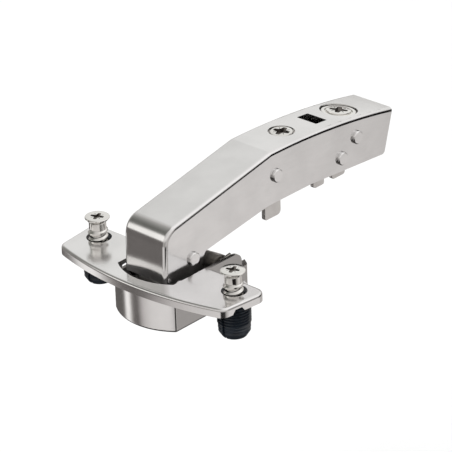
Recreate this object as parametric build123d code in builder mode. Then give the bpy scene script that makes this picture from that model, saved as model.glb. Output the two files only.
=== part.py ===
from build123d import *
from math import atan2, cos, degrees, radians, sin, sqrt
import os

# Concealed cup hinge with a long one-piece arm that lies parallel to the door when closed.
# Millimetres. The origin is the centre of the cup on the door's inner face, +Z points out
# of that face, +Y runs from the cup towards the door's edge and the arm's rear end, and X
# runs along the lever pins. The hinge is modelled closed.

os.makedirs("parts", exist_ok=True)

# Fits
running_gap = 0.06      # radial, a pin that turns in its hole
seat_gap = 0.02         # radial, a rivet or pin fixed in its hole
side_gap = 0.10         # between sheets that slide on each other
thread_gap = 0.20       # radial, round a thread that is drawn as a plain shank

# Cup and flange, drawn in one from sheet
cup_r = 17.5
cup_flat = 10.9         # centre to the outside of each flat
cup_wall = 1.0
cup_depth = 11.0
cup_bottom_fillet = 0.8
cup_front_corner = 0.8
cup_rear_corner = 1.0
flange_top = 2.5
flange_sheet = 1.0
flange_edge_fillet = 0.8
flange_back = -0.5
flange_front_apex = -19.9
flange_front_r = 96.0
flange_end_x = 30.2     # half the flange's length, at the screws
flange_end_taper = 7.0  # degrees, the ends open out towards the back
flange_front_run = 9.0  # from the screws forward to the front corners
flange_back_run = 5.0   # and back to the rear corners
flange_corner = 2.8
wall_top_end = cup_r - 8.5   # where the cup's side wall starts to round down behind the flange
wall_top_corner = 2.6
rear_rim_z = -2.0
rear_gap_half = 8.4     # half the width of the gap in the rear wall
rear_gap_z = -6.0
notch_y = -10.3
notch_wide = 4.0
notch_narrow = 2.2
notch_height = 1.2

# Fixing screws and dowels
screw_spacing = 48.0
screw_y = -6.0
screw_hole_r = 3.4
screw_hole_shift = 0.3
screw_top = 8.7
screw_head_r = 3.3
screw_head_rim = 0.45
screw_cone = 1.0
screw_neck_r = 2.25
screw_neck = 2.0
screw_thread_r = 2.95
screw_thread_run_in = 0.6
screw_tip_z = -0.6
screw_tip_h = 0.8
screw_drive = 5.5       # how far each screw goes down to fix the hinge
screw_cross = 3.4
screw_cross_wide = 0.75
screw_cross_deep = 1.1
dowel_r = 4.25          # the dowel's solid lower end
dowel_rib_r = 4.45      # over the ribs, above that end
dowel_bottom = -10.2
dowel_chamfer = 1.9
dowel_collar_h = 1.2
dowel_slit = 0.7

# Lever pivots, as (Y, Z)
outer_cup_axis = (cup_r - 8.2, -2.4)
inner_cup_axis = (cup_r - 6.5, -7.6)
outer_arm_axis = (outer_cup_axis[0] - 12.2, 5.1)
inner_arm_axis = (outer_cup_axis[0] - 17.2, -1.3)
cup_pin_r = 1.5
arm_pin_r = 1.5
inner_pin_r = 1.2
rivet_head_r = 1.85
rivet_head_h = 0.8
rivet_head_chamfer = 0.25
pin_end_h = 0.6

# Levers
outer_lever_half = 5.6
outer_ear_inner = 4.0
outer_eye_r = 2.9
outer_web = 1.5
outer_web_start = 5.0   # from the cup pin, along the lever
inner_lever_half = 3.6
inner_eye_r = 2.2
inner_bar = 1.8
open_pivot_travel = 1.75   # the slot that lets the opened linkage move
open_pivot_drift = 0.48

# Closing springs on the outer cup pivots
spring_wire_r = 0.5
wire_sides = 6          # the round wire is drawn with six flats
spring_mean_r = cup_pin_r + running_gap + spring_wire_r
spring_turns = 2.5
spring_pitch = 1.06
spring_start = 6.4
spring_leg = 3.0

# Arm, folded from one sheet
arm_half = 7.3
arm_sheet = 1.4
arm_fold = 1.1
arm_front_low = (outer_arm_axis[0] - 10.5, 1.6)
arm_front_corner = (arm_front_low[0] + 0.55, 15.85)
arm_bend_r = 5.0
arm_crease = (28.0, 23.75)
arm_top_mid = (54.0, 22.55)
arm_rear_top = (77.6, 19.1)
arm_rear_low = (74.0, 6.6)
arm_rear_fillet = 1.2
arm_low_mid = (43.6, 8.8)
arm_low_front = (26.5, 8.9)
arm_low_neck = (outer_arm_axis[0] + 4.6, 5.4)
arm_ear_back = outer_arm_axis[0] + 3.2
arm_ear_low = -4.2
arm_crease_r = 4.0
arm_low_r = 12.0
arm_neck_r = 1.2

# Adjusting screws and window in the arm's top
overlay_y = 40.3
overlay_hole_r = 3.65
overlay_head_r = 3.15
overlay_collar_r = 4.0
overlay_collar_h = 0.5
overlay_thread_r = 2.0
overlay_tip_z = 16.2
depth_y = 63.6
depth_hole_r = 5.25
depth_disc_r = 4.85
depth_disc_h = 0.9
depth_sink = 0.35
depth_boss_r = 3.5
depth_boss_h = 0.35
depth_spindle_r = 2.9
depth_rivet_r = 3.4
depth_rivet_h = 0.4
depth_shoulder_r = 3.6
depth_throw = 2.2
depth_crank_r = 1.0
depth_turn = radians(45)
crank_gap = 0.20
web_gap = 0.20
adjust_cross = 4.3
adjust_cross_wide = 1.0
adjust_cross_deep = 1.0
window_y = 52.6
window_long = 4.4
window_wide = 6.8

# Pins that cross the arm, as (Y, Z)
front_pin_axis = (29.8, 16.6)
rear_pin_axis = (56.1, 11.8)
tilt_axis = (62.4, 15.8)
tilt_rivet_r = 1.0
tilt_travel = radians(1.5)

# Carrier channel inside the arm
carrier_sheet = 1.0
carrier_front = 26.5
carrier_rear = 68.5
carrier_top_front = 20.2
carrier_top_mid = (48.0, 20.35)
carrier_top_rear = 19.1
carrier_low_front = 9.7
carrier_low_rear = 8.4
carrier_wall_rear = 66.0
carrier_lug_y = 34.7    # a short lug on each wall, behind the hook
carrier_lug_long = 3.4
carrier_lug_low = 7.7
carrier_lug_h = 4.0
carrier_collar_r = 3.1
carrier_collar_h = 0.8

# Clip slide inside the carrier
slide_sheet = 1.2
slide_travel = 1.57
slide_top = 15.2
slide_front_top = 14.0
slide_web_front = 33.8
slide_rear = 67.4
slide_low_front = 9.2
slide_low_rear = 8.3
hook_front = 28.0
hook_rear = 34.2
hook_low = 3.0
lug_front = 47.6
lug_rear = 51.9
lug_low = 5.0

# Release latch
latch_axis = (64.5, 10.3)
latch_pin_r = 1.0
latch_sheet = 1.1
latch_half = 3.25
latch_hook_front = 56.8
latch_hook_rear = 62.0
latch_hook_low = 3.9
latch_tab_y = 71.6
latch_tab_top = 14.6
latch_tab_half = 4.3
latch_wire_r = 0.3
latch_coil_r = latch_pin_r + running_gap + latch_wire_r
latch_coil_turns = 4
latch_coil_pitch = 0.75

carrier_half = arm_half - arm_sheet - 2 * side_gap
slide_half = carrier_half - carrier_sheet - side_gap


def side_plane(x):
    """The plane across the hinge at this X, with sketch axes along Y and Z."""
    return Plane.YZ.offset(x)


def length(p, q):
    return sqrt((q[0] - p[0]) ** 2 + (q[1] - p[1]) ** 2)


def circle_through(p, q, r):
    """The centre (Y, Z) and the radius of the circle through three points."""
    ax, ay = p[0] - r[0], p[1] - r[1]
    bx, by = q[0] - r[0], q[1] - r[1]
    twice_area = 2 * (ax * by - ay * bx)
    ux = (by * (ax**2 + ay**2) - ay * (bx**2 + by**2)) / twice_area
    uy = (ax * (bx**2 + by**2) - bx * (ax**2 + ay**2)) / twice_area
    return (r[0] + ux, r[1] + uy), sqrt(ux**2 + uy**2)


def round_corners(sketch, corners):
    """Round each named corner (Y, Z) of a side outline with its own radius."""
    for corner, r in corners:
        nearest = sketch.vertices().sort_by_distance(Vector(corner[0], corner[1]))[0]
        fillet(nearest, r)


def save(piece, name):
    piece.part.label = name
    export_step(piece.part, f"parts/{name}.step")


# Cup with its flange
front_corner_x = flange_end_x - sin(radians(flange_end_taper)) * flange_front_run
front_corner_y = flange_front_apex + flange_front_r - sqrt(flange_front_r**2 - front_corner_x**2)
back_corner_x = flange_end_x + sin(radians(flange_end_taper)) * flange_back_run

with BuildPart() as cup:
    with BuildSketch(Plane.XY) as flange_outline:
        with BuildLine():
            ThreePointArc(
                (-front_corner_x, front_corner_y),
                (0, flange_front_apex),
                (front_corner_x, front_corner_y),
            )
            Polyline(
                (front_corner_x, front_corner_y),
                (back_corner_x, flange_back),
                (-back_corner_x, flange_back),
                (-front_corner_x, front_corner_y),
            )
        make_face()
        fillet(flange_outline.vertices(), flange_corner)
    extrude(amount=flange_top)
    fillet(cup.faces().sort_by(Axis.Z)[-1].edges(), flange_edge_fillet)
    with BuildSketch(Plane.XY) as flange_inside:
        add(flange_outline.sketch)
        offset(amount=-flange_sheet, mode=Mode.REPLACE)
    extrude(amount=flange_top - flange_sheet, mode=Mode.SUBTRACT)
    with BuildSketch(Plane.XY.offset(-cup_depth)) as cup_outline:
        Circle(cup_r)
        Rectangle(2 * cup_flat, 2 * cup_r, mode=Mode.INTERSECT)
        corners = cup_outline.vertices().group_by(Axis.Y)
        fillet(corners[0], cup_front_corner)
        fillet(cup_outline.vertices().group_by(Axis.Y)[-1], cup_rear_corner)
    extrude(amount=cup_depth + flange_top)
    fillet(cup.faces().sort_by(Axis.Z)[0].edges(), cup_bottom_fillet)
    with BuildSketch(Plane.XY.offset(cup_wall - cup_depth)):
        Circle(cup_r - cup_wall)
        Rectangle(2 * (cup_flat - cup_wall), 2 * cup_r, mode=Mode.INTERSECT)
    extrude(amount=cup_depth + flange_top, mode=Mode.SUBTRACT)
    # the side walls round down behind the flange, and the rear wall is cut low
    with BuildSketch(Plane.YZ) as rim_cut:
        with BuildLine():
            Line((wall_top_end, flange_top + 1), (wall_top_end, flange_top))
            RadiusArc(
                (wall_top_end, flange_top),
                (wall_top_end + wall_top_corner, flange_top - wall_top_corner),
                wall_top_corner,
            )
            Polyline(
                (wall_top_end + wall_top_corner, flange_top - wall_top_corner),
                (wall_top_end + wall_top_corner, rear_rim_z),
                (cup_r + 1, rear_rim_z),
                (cup_r + 1, flange_top + 1),
                (wall_top_end, flange_top + 1),
            )
        make_face()
    extrude(amount=cup_r, both=True, mode=Mode.SUBTRACT)
    with BuildSketch(Plane.XZ.offset(-cup_r - 1)):
        with Locations((0, rear_gap_z + cup_depth)):
            RectangleRounded(2 * rear_gap_half, 2 * cup_depth, 1.5)
    extrude(amount=cup_r / 3, mode=Mode.SUBTRACT)
    with BuildSketch(Plane.YZ):
        with BuildLine():
            Polyline(
                (notch_y - notch_wide / 2, 0),
                (notch_y - notch_narrow / 2, notch_height),
                (notch_y + notch_narrow / 2, notch_height),
                (notch_y + notch_wide / 2, 0),
                close=True,
            )
        make_face()
    extrude(amount=flange_end_x * 2, both=True, mode=Mode.SUBTRACT)
    with BuildSketch(Plane.XY):
        with Locations((0, screw_y + screw_hole_shift)):
            with GridLocations(screw_spacing, 0, 2, 1):
                Circle(screw_hole_r)
    extrude(amount=flange_top, mode=Mode.SUBTRACT)
    with BuildSketch(Plane.YZ):
        with Locations(outer_cup_axis, inner_cup_axis):
            Circle(cup_pin_r + seat_gap)
    extrude(amount=cup_r, both=True, mode=Mode.SUBTRACT)
save(cup, "cup")


# Dowels and their screws
for side, sign in (("left", -1), ("right", 1)):
    screw_x = sign * screw_spacing / 2
    dowel_top = flange_top - flange_sheet
    dowel_core_top = screw_tip_z - screw_drive - side_gap
    with BuildPart() as dowel:
        with BuildSketch(Plane.XZ.offset(-screw_y)) as dowel_profile:
            with BuildLine():
                Polyline(
                    (screw_x + screw_thread_r + side_gap, dowel_top),
                    (screw_x + dowel_rib_r, dowel_top),
                    (screw_x + dowel_rib_r, dowel_core_top - side_gap),
                    (screw_x + dowel_r, dowel_core_top - side_gap),
                    (screw_x + dowel_r, dowel_bottom + dowel_chamfer),
                    (screw_x + dowel_r - dowel_chamfer / 2, dowel_bottom + dowel_chamfer / 4),
                    (screw_x + dowel_r - dowel_chamfer, dowel_bottom),
                    (screw_x, dowel_bottom),
                    (screw_x, dowel_core_top),
                    (screw_x + screw_thread_r + side_gap, dowel_core_top),
                    close=True,
                )
            make_face()
        revolve(axis=Axis((screw_x, screw_y, 0), (0, 0, 1)))
        with BuildSketch(Plane.XY.offset(dowel_top - dowel_collar_h)):
            with Locations((screw_x, screw_y - dowel_r)):
                Rectangle(dowel_slit, dowel_r, align=(Align.CENTER, Align.CENTER))
        extrude(amount=-20, mode=Mode.SUBTRACT)
    save(dowel, f"{side}_dowel")

    cone_bottom = screw_top - screw_head_rim - screw_cone
    thread_top = cone_bottom - screw_neck
    with BuildPart() as fixing_screw:
        with BuildSketch(Plane.XZ.offset(-screw_y)):
            with BuildLine():
                Polyline(
                    (screw_x, screw_top),
                    (screw_x + screw_head_r, screw_top),
                    (screw_x + screw_head_r, screw_top - screw_head_rim),
                    (screw_x + screw_neck_r, cone_bottom),
                    (screw_x + screw_neck_r, thread_top),
                    (screw_x + screw_thread_r, thread_top - screw_thread_run_in),
                    (screw_x + screw_thread_r, screw_tip_z + screw_tip_h),
                    (screw_x + screw_neck_r / 2, screw_tip_z),
                    (screw_x, screw_tip_z),
                    close=True,
                )
            make_face()
        revolve(axis=Axis((screw_x, screw_y, 0), (0, 0, 1)))
        with BuildSketch(Plane.XY.offset(screw_top)):
            with Locations((screw_x, screw_y)):
                Rectangle(screw_cross, screw_cross_wide, rotation=20)
                Rectangle(screw_cross_wide, screw_cross, rotation=20)
        extrude(amount=-screw_cross_deep, taper=12, mode=Mode.SUBTRACT)
    save(fixing_screw, f"{side}_fixing_screw")


# Outer lever: two ears and a web, with a rolled eye at the arm's pin
lever_run = length(outer_cup_axis, outer_arm_axis)
lever_angle = degrees(atan2(
    outer_arm_axis[1] - outer_cup_axis[1],
    outer_arm_axis[0] - outer_cup_axis[0],
))
lever_plane = Plane(
    origin=(0, outer_cup_axis[0], outer_cup_axis[1]),
    x_dir=(0, cos(radians(lever_angle)), sin(radians(lever_angle))),
    z_dir=(1, 0, 0),
)

with BuildPart() as outer_lever:
    with BuildSketch(lever_plane) as ear_profile:
        Circle(outer_eye_r)
        with Locations((lever_run, 0)):
            Circle(outer_eye_r)
        make_hull()
    extrude(amount=outer_lever_half, both=True)
    with BuildSketch(lever_plane):
        with Locations((lever_run / 2 - outer_eye_r, outer_web)):
            Rectangle(lever_run, 2 * outer_eye_r)
    extrude(amount=outer_ear_inner, both=True, mode=Mode.SUBTRACT)
    with BuildSketch(lever_plane):
        with Locations((outer_web_start, -outer_eye_r)):
            Rectangle(30, outer_eye_r * 3, align=(Align.MAX, Align.CENTER))
    extrude(amount=outer_ear_inner, both=True, mode=Mode.SUBTRACT)
    with BuildSketch(lever_plane):
        with Locations((0, 0), (lever_run, 0)):
            Circle(cup_pin_r + running_gap)
    extrude(amount=2 * outer_lever_half, both=True, mode=Mode.SUBTRACT)
save(outer_lever, "outer_lever")


# Inner lever: a bar with two eyes, the far one a short slot
bar_run = length(inner_cup_axis, inner_arm_axis)
bar_angle = atan2(
    inner_arm_axis[1] - inner_cup_axis[1],
    inner_arm_axis[0] - inner_cup_axis[0],
)
bar_plane = Plane(
    origin=(0, inner_cup_axis[0], inner_cup_axis[1]),
    x_dir=(0, cos(bar_angle), sin(bar_angle)),
    z_dir=(1, 0, 0),
)
slot_r = inner_pin_r + open_pivot_drift / 2 + running_gap

with BuildPart() as inner_lever:
    with BuildSketch(bar_plane):
        Circle(inner_eye_r)
        with Locations((bar_run / 2, 0)):
            Rectangle(bar_run, inner_bar)
        with Locations((bar_run + open_pivot_travel / 2, -open_pivot_drift / 2)):
            SlotCenterToCenter(open_pivot_travel, 2 * inner_eye_r)
        with Locations((bar_run + open_pivot_travel / 2, -open_pivot_drift / 2)):
            SlotCenterToCenter(open_pivot_travel, 2 * slot_r, mode=Mode.SUBTRACT)
        Circle(cup_pin_r + running_gap, mode=Mode.SUBTRACT)
    extrude(amount=inner_lever_half, both=True)
save(inner_lever, "inner_lever")


def round_pin(axis, r, inside, outside, head_r, head_h):
    """A pin along X from inside to outside, with a low round head beyond the outside."""
    with BuildPart() as pin:
        with BuildSketch(side_plane(inside)):
            with Locations(axis):
                Circle(r)
        extrude(amount=outside - inside)
        with BuildSketch(side_plane(outside)):
            with Locations(axis):
                Circle(head_r)
        extrude(amount=head_h)
        chamfer(pin.faces().sort_by(Axis.X)[-1].edges(), rivet_head_chamfer)
        if inside < 0:
            mirror(about=Plane.YZ)
    return pin


# Stub pins of the outer lever, one in each flat of the cup
stub = round_pin(
    outer_cup_axis, cup_pin_r, outer_ear_inner, cup_flat + seat_gap, rivet_head_r, pin_end_h
)
for side, sign in (("left", -1), ("right", 1)):
    with BuildPart() as stub_pin:
        if sign > 0:
            add(stub.part)
        else:
            add(mirror(stub.part, about=Plane.YZ, mode=Mode.PRIVATE))
    save(stub_pin, f"{side}_lever_stub")

# Through pins: the cup's inner pin, the two lever pins in the arm, and the two guide pins
through_pins = (
    ("inner_cup_pin", inner_cup_axis, cup_pin_r, cup_flat),
    ("outer_arm_pin", outer_arm_axis, arm_pin_r, arm_half),
    ("inner_arm_pin", inner_arm_axis, inner_pin_r, arm_half),
    ("front_guide_pin", front_pin_axis, arm_pin_r, arm_half),
    ("rear_guide_pin", rear_pin_axis, arm_pin_r, arm_half),
)
for name, axis, r, half in through_pins:
    pin = round_pin(axis, r, -1, half + seat_gap, rivet_head_r, rivet_head_h)
    save(pin, name)

rivet = round_pin(
    tilt_axis,
    tilt_rivet_r,
    carrier_half - carrier_sheet,
    arm_half + seat_gap,
    rivet_head_r,
    rivet_head_h,
)
for side, sign in (("left", -1), ("right", 1)):
    with BuildPart() as tilt_rivet:
        if sign > 0:
            add(rivet.part)
        else:
            add(mirror(rivet.part, about=Plane.YZ, mode=Mode.PRIVATE))
    save(tilt_rivet, f"{side}_tilt_rivet")


# Closing springs: a coil round each stub, one leg on the cup's floor, one under the lever
for side, sign in (("left", -1), ("right", 1)):
    with BuildPart() as spring:
        with BuildLine() as coil:
            Helix(
                spring_pitch,
                spring_pitch * spring_turns,
                spring_mean_r,
                center=(sign * spring_start, outer_cup_axis[0], outer_cup_axis[1]),
                direction=(sign, 0, 0),
            )
        with BuildSketch(Plane(origin=coil.line @ 0, z_dir=coil.line % 0)):
            RegularPolygon(spring_wire_r, wire_sides)
        sweep(is_frenet=True)
        for end, way in ((0, -1), (1, 1)):
            with BuildSketch(Plane(origin=coil.line @ end, z_dir=(coil.line % end) * way)):
                RegularPolygon(spring_wire_r, wire_sides)
            extrude(amount=spring_leg)
    save(spring, f"{side}_closing_spring")


# Arm: one sheet folded along its front and top, with both sides bent down
top_centre, top_r = circle_through(arm_crease, arm_top_mid, arm_rear_top)


def arm_top_at(y):
    return top_centre[1] + sqrt(top_r**2 - (y - top_centre[0]) ** 2)


depth_slope = (depth_y - top_centre[0]) / top_r
depth_plane = Plane(
    origin=(0, depth_y, arm_top_at(depth_y)),
    x_dir=(1, 0, 0),
    z_dir=(0, depth_slope, sqrt(1 - depth_slope**2)),
)

with BuildLine() as arm_fold_line:
    Polyline(arm_front_low, arm_front_corner, arm_crease)
    ThreePointArc(arm_crease, arm_top_mid, arm_rear_top)
    round_corners(arm_fold_line, ((arm_front_corner, arm_bend_r), (arm_crease, arm_crease_r)))

with BuildPart() as arm:
    with BuildSketch(Plane.YZ) as arm_side:
        with BuildLine():
            add(arm_fold_line.line)
            Polyline(
                arm_rear_top,
                arm_rear_low,
                arm_low_mid,
                arm_low_front,
                arm_low_neck,
                (arm_ear_back, outer_arm_axis[1] - 2.8),
                (inner_arm_axis[0] + 2.4, arm_ear_low),
                (inner_arm_axis[0] - 1.4, arm_ear_low),
                arm_front_low,
            )
        make_face()
        round_corners(
            arm_side,
            (
                (arm_rear_low, arm_rear_fillet),
                (arm_low_front, arm_low_r),
                (arm_low_neck, arm_neck_r),
                ((inner_arm_axis[0] + 2.4, arm_ear_low), arm_neck_r),
                ((inner_arm_axis[0] - 1.4, arm_ear_low), arm_neck_r),
            ),
        )
    extrude(amount=arm_half, both=True)
    # the sheet's outer bend, along the front and the top of both sides
    side_faces = arm.faces().filter_by(Axis.X)
    fold_edges = [
        edge
        for edge in side_faces[0].edges() + side_faces[-1].edges()
        if edge.center().Z > arm_front_low[1] + 1
        and (edge.center().Y < arm_front_corner[0] or edge.center().Z > arm_low_mid[1] + 2)
        and edge.center().Y < arm_rear_low[0]
    ]
    fillet(fold_edges, arm_fold)
    with BuildSketch(Plane.YZ):
        add(arm_side.sketch_local)
        trace(arm_fold_line.line, 2 * arm_sheet, mode=Mode.SUBTRACT)
    extrude(amount=arm_half - arm_sheet, both=True, mode=Mode.SUBTRACT)
    with BuildSketch(Plane.YZ):
        with Locations(outer_arm_axis, front_pin_axis, rear_pin_axis):
            Circle(arm_pin_r + seat_gap)
        with Locations(inner_arm_axis):
            Circle(inner_pin_r + seat_gap)
        with Locations(tilt_axis):
            Circle(tilt_rivet_r + seat_gap)
    extrude(amount=2 * arm_half, both=True, mode=Mode.SUBTRACT)
    with BuildSketch(Plane.XY.offset(arm_top_at(overlay_y))):
        with Locations((0, overlay_y)):
            Circle(overlay_hole_r)
        with Locations((0, window_y)):
            RectangleRounded(window_wide, window_long, 0.3)
    extrude(amount=2 * arm_sheet, both=True, mode=Mode.SUBTRACT)
    with BuildSketch(depth_plane):
        Circle(depth_hole_r)
    extrude(amount=1.5 * arm_sheet, both=True, mode=Mode.SUBTRACT)
save(arm, "arm")


# Carrier channel: tilts on the two rivets, and carries both adjusting screws
front_swing = length(front_pin_axis, tilt_axis) * tilt_travel
rear_swing = length(rear_pin_axis, tilt_axis) * tilt_travel
carrier_ends = ((carrier_front, carrier_top_front), (carrier_rear, carrier_top_rear))
web_centre, web_r = circle_through(carrier_ends[0], carrier_top_mid, carrier_ends[1])


def carrier_top_at(y):
    return web_centre[1] + sqrt(web_r**2 - (y - web_centre[0]) ** 2)


with BuildLine() as carrier_fold_line:
    ThreePointArc(carrier_ends[0], carrier_top_mid, carrier_ends[1])

with BuildPart() as carrier:
    with BuildSketch(Plane.YZ) as carrier_side:
        with BuildLine():
            add(carrier_fold_line.line)
            Polyline(
                carrier_ends[1],
                (carrier_rear, carrier_top_rear - carrier_sheet),
                (carrier_wall_rear, carrier_top_rear - 2 * carrier_sheet),
                (carrier_wall_rear, carrier_low_rear),
                (carrier_front + 2, carrier_low_front),
                carrier_ends[0],
            )
        make_face()
        with Locations((carrier_lug_y, carrier_lug_low)):
            Rectangle(carrier_lug_long, carrier_lug_h, align=(Align.CENTER, Align.MIN))
    extrude(amount=carrier_half, both=True)
    with BuildSketch(Plane.YZ):
        add(carrier_side.sketch_local)
        trace(carrier_fold_line.line, 2 * carrier_sheet, mode=Mode.SUBTRACT)
    extrude(amount=carrier_half - carrier_sheet, both=True, mode=Mode.SUBTRACT)
    web_low = carrier_top_at(overlay_y) - carrier_sheet
    with BuildSketch(Plane.XY.offset(web_low - carrier_collar_h)):
        with Locations((0, overlay_y)):
            Circle(carrier_collar_r)
    extrude(amount=carrier_collar_h + carrier_sheet / 2)
    with BuildSketch(Plane.XY.offset(web_low - carrier_collar_h)):
        with Locations((0, overlay_y)):
            Circle(overlay_thread_r + thread_gap)
        with Locations((0, window_y)):
            RectangleRounded(window_wide, window_long, 0.3)
    extrude(amount=4 * carrier_sheet, mode=Mode.SUBTRACT)
    with BuildSketch(depth_plane):
        Circle(depth_spindle_r + running_gap)
    extrude(amount=-4 * carrier_sheet, mode=Mode.SUBTRACT)
    with BuildSketch(Plane.YZ):
        with Locations(front_pin_axis):
            SlotCenterToCenter(2 * front_swing, 2 * (arm_pin_r + side_gap), rotation=90)
        with Locations(rear_pin_axis):
            Circle(arm_pin_r + rear_swing + side_gap)
        with Locations(tilt_axis):
            Circle(tilt_rivet_r + running_gap)
    extrude(amount=carrier_half, both=True, mode=Mode.SUBTRACT)
save(carrier, "carrier")


# Overlay screw: its head is caught in the arm's top, its thread lifts the carrier
overlay_top = arm_top_at(overlay_y)
collar_top = overlay_top - arm_sheet - 3 * side_gap
collar_low = collar_top - overlay_collar_h
with BuildPart() as overlay_screw:
    with BuildSketch(Plane.XZ.offset(-overlay_y)):
        with BuildLine():
            Polyline(
                (0, overlay_top),
                (overlay_head_r - 0.3, overlay_top),
                (overlay_head_r, overlay_top - 0.3),
                (overlay_head_r, collar_top),
                (overlay_collar_r, collar_top),
                (overlay_collar_r, collar_low),
                (overlay_thread_r, collar_low),
                (overlay_thread_r, overlay_tip_z + 0.4),
                (overlay_thread_r - 0.4, overlay_tip_z),
                (0, overlay_tip_z),
                close=True,
            )
        make_face()
    revolve(axis=Axis((0, overlay_y, 0), (0, 0, 1)))
    with BuildSketch(Plane.XY.offset(overlay_top)):
        with Locations((0, overlay_y)):
            Rectangle(adjust_cross, adjust_cross_wide, rotation=12)
            Rectangle(adjust_cross_wide, adjust_cross, rotation=12)
    extrude(amount=-adjust_cross_deep, taper=10, mode=Mode.SUBTRACT)
save(overlay_screw, "overlay_screw")


# Depth screw: a disc in the arm's top, a riveted spindle, and a crank that moves the slide
def depth_level(z):
    """The distance along the depth screw's axis of a point at this height on it."""
    return (z - depth_plane.origin.Z) / depth_plane.z_dir.Z


shoulder_low = depth_level(carrier_top_at(depth_y)) + web_gap
spindle_low = depth_level(carrier_top_at(depth_y) - carrier_sheet) - web_gap
crank_low = depth_level(slide_top - slide_sheet) - side_gap
with BuildPart() as depth_screw:
    with BuildSketch(depth_plane.offset(-depth_sink)):
        Circle(depth_disc_r)
    extrude(amount=-depth_disc_h)
    with BuildSketch(depth_plane.offset(-depth_sink - depth_disc_h / 2)):
        Circle(depth_boss_r)
    extrude(amount=depth_boss_h + depth_disc_h / 2)
    with BuildSketch(depth_plane.offset(shoulder_low)):
        Circle(depth_shoulder_r)
    extrude(amount=-depth_sink - depth_disc_h / 2 - shoulder_low)
    with BuildSketch(depth_plane.offset(spindle_low)):
        Circle(depth_spindle_r)
    extrude(amount=shoulder_low + web_gap - spindle_low)
    with BuildSketch(depth_plane.offset(spindle_low)):
        Circle(depth_rivet_r)
    extrude(amount=-depth_rivet_h)
    with BuildSketch(depth_plane.offset(crank_low)):
        with Locations((depth_throw, 0)):
            Circle(depth_crank_r)
    extrude(amount=spindle_low - crank_low)
    with BuildSketch(depth_plane.offset(depth_boss_h - depth_sink)):
        Rectangle(adjust_cross, adjust_cross_wide, rotation=30)
        Rectangle(adjust_cross_wide, adjust_cross, rotation=30)
    extrude(amount=-adjust_cross_deep, taper=10, mode=Mode.SUBTRACT)
save(depth_screw, "depth_screw")


# Clip slide: hooks on the mounting plate, and moves along the arm between the carrier's walls
crank_mid = depth_level(slide_top - slide_sheet / 2)
crank_y = depth_y + crank_mid * depth_slope
crank_back = depth_throw * (1 - cos(depth_turn))
with BuildPart() as clip_slide:
    with BuildSketch(Plane.YZ) as slide_side:
        with BuildLine():
            Polyline(
                (hook_front, slide_front_top),
                (slide_web_front, slide_front_top),
                (slide_web_front, slide_top),
                (slide_rear, slide_top),
                (slide_rear, slide_low_rear),
                (lug_rear, slide_low_rear + 0.5),
                (lug_rear, lug_low),
                (lug_front, lug_low),
                (lug_front, slide_low_front),
                (hook_rear, slide_low_front),
                (hook_rear, hook_low),
                (hook_front, hook_low),
                close=True,
            )
        make_face()
        round_corners(
            slide_side,
            (
                ((hook_rear, hook_low), 1.3),
                ((hook_front, hook_low), 0.6),
                ((lug_rear, lug_low), 0.6),
                ((lug_front, lug_low), 0.9),
            ),
        )
    extrude(amount=slide_half, both=True)
    with BuildSketch(Plane.YZ) as slide_hollow:
        add(slide_side.sketch_local)
        with Locations((hook_front, slide_front_top - slide_sheet)):
            Rectangle(
                slide_web_front + slide_sheet - hook_front,
                5,
                align=(Align.MIN, Align.MIN),
                mode=Mode.SUBTRACT,
            )
        with Locations((slide_web_front, slide_top - slide_sheet)):
            Rectangle(40, 5, align=(Align.MIN, Align.MIN), mode=Mode.SUBTRACT)
    extrude(amount=slide_half - slide_sheet, both=True, mode=Mode.SUBTRACT)
    with BuildSketch(Plane.YZ):
        with Locations(rear_pin_axis):
            SlotCenterToCenter(2 * slide_travel, 2 * (arm_pin_r + rear_swing + side_gap))
        with Locations(latch_axis):
            Circle(latch_pin_r + seat_gap)
    extrude(amount=slide_half, both=True, mode=Mode.SUBTRACT)
    with BuildSketch(Plane.XY.offset(slide_top)):
        with Locations((depth_throw - crank_back / 2, crank_y)):
            SlotCenterToCenter(crank_back, 2 * (depth_crank_r + crank_gap))
    extrude(amount=-1.5 * slide_sheet, mode=Mode.SUBTRACT)
save(clip_slide, "clip_slide")


# Release latch: rocks on its pin in the slide, hooks under the mounting plate
tab_foot = latch_axis[1] + 0.8
with BuildPart() as release_latch:
    with BuildSketch(Plane.YZ) as latch_side:
        with BuildLine():
            Polyline(
                (latch_hook_front, latch_axis[1] - 1.0),
                (latch_hook_front, latch_hook_low),
                (latch_hook_rear, latch_hook_low),
                (latch_hook_rear + 0.4, latch_axis[1] - 2.6),
                (latch_axis[0] + 1.2, latch_axis[1] - 2.2),
                (latch_tab_y, latch_axis[1] + 0.2),
                (latch_tab_y, latch_tab_top),
                (latch_tab_y - latch_sheet, latch_tab_top),
                (latch_tab_y - latch_sheet, latch_axis[1] + 2.0),
                (latch_axis[0], latch_axis[1] + 2.1),
                (latch_axis[0] - 2.2, latch_axis[1] + 0.8),
                (latch_axis[0] - 3.1, latch_axis[1] - 1.0),
                close=True,
            )
        make_face()
        round_corners(
            latch_side,
            (
                ((latch_hook_front, latch_hook_low), 0.8),
                ((latch_hook_rear, latch_hook_low), 0.8),
            ),
        )
    extrude(amount=latch_half, both=True)
    with BuildSketch(Plane.YZ):
        with Locations((latch_tab_y - latch_sheet, 0)):
            Rectangle(30, 20, align=(Align.MAX, Align.MIN))
    extrude(amount=latch_half - latch_sheet, both=True, mode=Mode.SUBTRACT)
    with BuildSketch(Plane.XZ.offset(-latch_tab_y)):
        with Locations((0, tab_foot)):
            Rectangle(2 * latch_tab_half, latch_tab_top - tab_foot, align=(Align.CENTER, Align.MIN))
    extrude(amount=latch_sheet)
    with BuildSketch(Plane.YZ):
        with Locations(latch_axis):
            Circle(latch_pin_r + running_gap)
    extrude(amount=latch_half, both=True, mode=Mode.SUBTRACT)
save(release_latch, "release_latch")

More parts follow.
